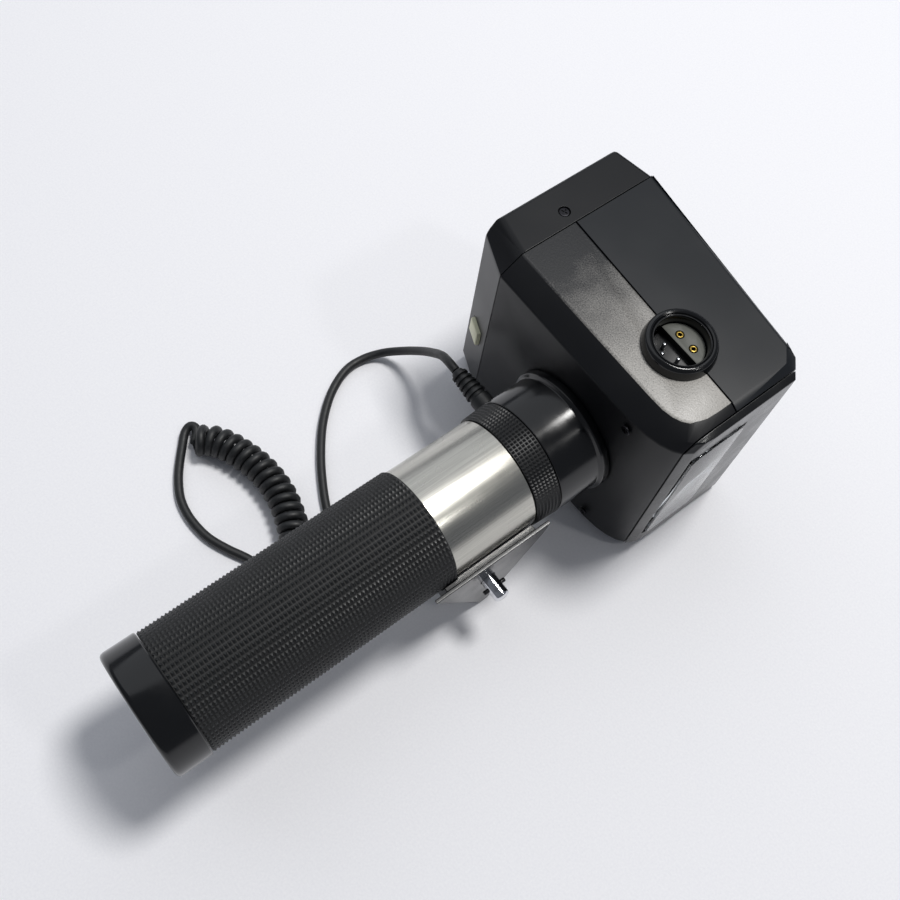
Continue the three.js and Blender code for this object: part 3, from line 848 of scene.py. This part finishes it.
class FLASH_OT_socket(bpy.types.Operator):
    """Model the power socket's boss, insulator, contacts and pins"""

    bl_idname = "flash.socket"
    bl_label = "Power socket"

    def execute(self, context):
        low, high = corners("socket_boss")
        axis = Vector(((low.x + high.x) / 2, (low.y + high.y) / 2, low.z))
        rise = (high.z - low.z) / MM
        wall = [(10, 0), (14, 0), (14, rise - 4), (13.7, rise - 3), (13.5, rise - 1.6),
                (13.1, rise - 0.6), (12.5, rise - 0.1), (11.9, rise), (11.3, rise - 0.3),
                (11, rise - 0.9), (10.8, rise - 1), (10.6, rise - 0.6), (10.3, rise - 0.6),
                (10, rise - 1.2), (10, 0)]
        boss = spun("socket_ring", wall, (0, 0, 1), axis, 96)
        finish_piece(boss, "head", FINISH["gloss"], ["socket_boss"])
        insulator = refined("socket_insulator", "socket_core", 0.15 * MM, 2)
        finish_piece(insulator, "head", FINISH["ring"], ["socket_insulator"])
        insulator.data.materials.append(FINISH["insulator"])
        shelf = corners("socket_insulator")[1].z - 0.5 * MM
        for polygon in insulator.data.polygons:
            polygon.material_index = 1 if polygon.center.z > shelf and polygon.normal.z > 0.5 else 0
        for index in (1, 2):
            contact = refined(f"socket_contact_{index}", f"contact_sleeve_{index}", 0.12 * MM, 2)
            finish_piece(contact, "head", FINISH["brass"], [f"socket_contact_{index}"])
        for index in (1, 2, 3):
            pin = refined(f"socket_pin_{index}", f"contact_pin_{index}", 0.1 * MM, 2)
            finish_piece(pin, "head", FINISH["chrome"], [f"socket_pin_{index}"])
        return {"FINISHED"}


def cross_screw(name, node_name, towards):
    """A pan-head screw with a cross recess, standing where the CAD screw stands."""
    low, high = corners(node_name)
    middle = (low + high) / 2
    turn = towards.to_track_quat("Z", "Y").to_matrix().to_4x4()
    depth = abs((high - low).dot(towards))
    radius = max(high - low) / 2
    bpy.ops.object.select_all(action="DESELECT")
    bpy.ops.mesh.primitive_cylinder_add(vertices=40, radius=radius, depth=depth)
    screw = named(name)
    modify(screw, "BEVEL", width=0.25 * MM, segments=3, limit_method="ANGLE")
    for angle in (0.4, math.pi / 2 + 0.4):
        bpy.ops.object.select_all(action="DESELECT")
        bpy.ops.mesh.primitive_cube_add(
            size=1, location=(0, 0, depth / 2), rotation=(0, 0, angle))
        slot = named("slot")
        slot.scale = (radius * 1.25, radius * 0.28, depth)
        settle(slot)
        cut_out(screw, slot)
    screw.matrix_world = Matrix.Translation(middle) @ turn
    return finish_piece(screw, "head", FINISH["screw"], [node_name])


class FLASH_OT_screws(bpy.types.Operator):
    """Model the screws of the back cover and the base"""

    bl_idname = "flash.screws"
    bl_label = "Screws"

    def execute(self, context):
        cross_screw("cover_screw_upper", "cover_screw_left", Vector((0, 0, 1)))
        cross_screw("cover_screw_under", "cover_screw_right", Vector((0, 0, -1)))
        cross_screw("base_screw_upper", "base_screw_1", Vector((0, -1, 0)))
        cross_screw("base_screw_under", "base_screw_2", Vector((0, -1, 0)))
        return {"FINISHED"}


class FLASH_OT_shoe(bpy.types.Operator):
    """Model the bracket shoe, its release pin and the cross pin"""

    bl_idname = "flash.shoe"
    bl_label = "Bracket shoe"

    def execute(self, context):
        shoe = refined("bracket_shoe", "bracket_plate", 0.3 * MM)
        finish_piece(shoe, "grip", FINISH["plate"], ["bracket_shoe"], weighted=True)
        low, high = corners("release_pin")
        axis = Vector((low.x, (low.y + high.y) / 2, (low.z + high.z) / 2))
        reach = (high.x - low.x) / MM
        profile = [(0, 0), (3.2, 0), (3.2, reach - 1.1), (3.05, reach - 0.6), (2.7, reach - 0.2),
                   (2.2, reach), (0, reach)]
        pin = spun("release_pin_body", profile, (1, 0, 0), axis)
        finish_piece(pin, "pin", FINISH["chrome"], ["release_pin"])
        cross = refined("cross_pin", "cross_pin_rod", 0.25 * MM)
        finish_piece(cross, "pin", FINISH["gloss"], ["cross_pin"])
        return {"FINISHED"}


class FLASH_OT_works(bpy.types.Operator):
    """Give the parts inside the grip and the head their finishes"""

    bl_idname = "flash.works"
    bl_label = "Works"

    def execute(self, context):
        inside = {
            "cell": ["cell_1", "cell_2", "cell_3", "cell_4", "main_capacitor"],
            "brass": ["cell_contact_plate", "spigot_bush", "trigger_coil"],
            "board": ["cell_terminal_board", "circuit_board"],
            "black_abs": ["charging_transformer"],
        }
        for finish, names in inside.items():
            for name in names:
                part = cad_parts[name]
                part.data.materials.clear()
                part.data.materials.append(FINISH[finish])
        return {"FINISHED"}


class FLASH_PT_panel(bpy.types.Panel):
    """Sizes, colours and steps of the flash"""

    bl_idname = "FLASH_PT_panel"
    bl_label = "Handle-mount flash"
    bl_space_type = "VIEW_3D"
    bl_region_type = "UI"
    bl_category = "Flash"

    def draw(self, context):
        for group in (sizes(), colours()):
            for name in group.__annotations__:
                self.layout.prop(group, name)
        for step in STEPS:
            self.layout.operator(step.bl_idname)


STEPS = (
    FLASH_OT_stage, FLASH_OT_leads, FLASH_OT_grip, FLASH_OT_neck, FLASH_OT_shells, FLASH_OT_lamp,
    FLASH_OT_socket, FLASH_OT_screws, FLASH_OT_shoe, FLASH_OT_works,
)


def register():
    for item in (FlashSizes, FlashColours, *STEPS, FLASH_PT_panel):
        bpy.utils.register_class(item)
    bpy.types.Scene.flash_sizes = bpy.props.PointerProperty(type=FlashSizes)
    bpy.types.Scene.flash_colours = bpy.props.PointerProperty(type=FlashColours)


def unregister():
    del bpy.types.Scene.flash_colours
    del bpy.types.Scene.flash_sizes
    for item in (FLASH_PT_panel, *reversed(STEPS), FlashColours, FlashSizes):
        bpy.utils.unregister_class(item)


def main():
    """Runs every step in order."""
    register()
    bpy.ops.object.select_all(action="DESELECT")
    add_camera()
    make_finishes()
    for step in STEPS:
        group, name = step.bl_idname.split(".")
        getattr(getattr(bpy.ops, group), name)()


if __name__ == "__main__":
    main()
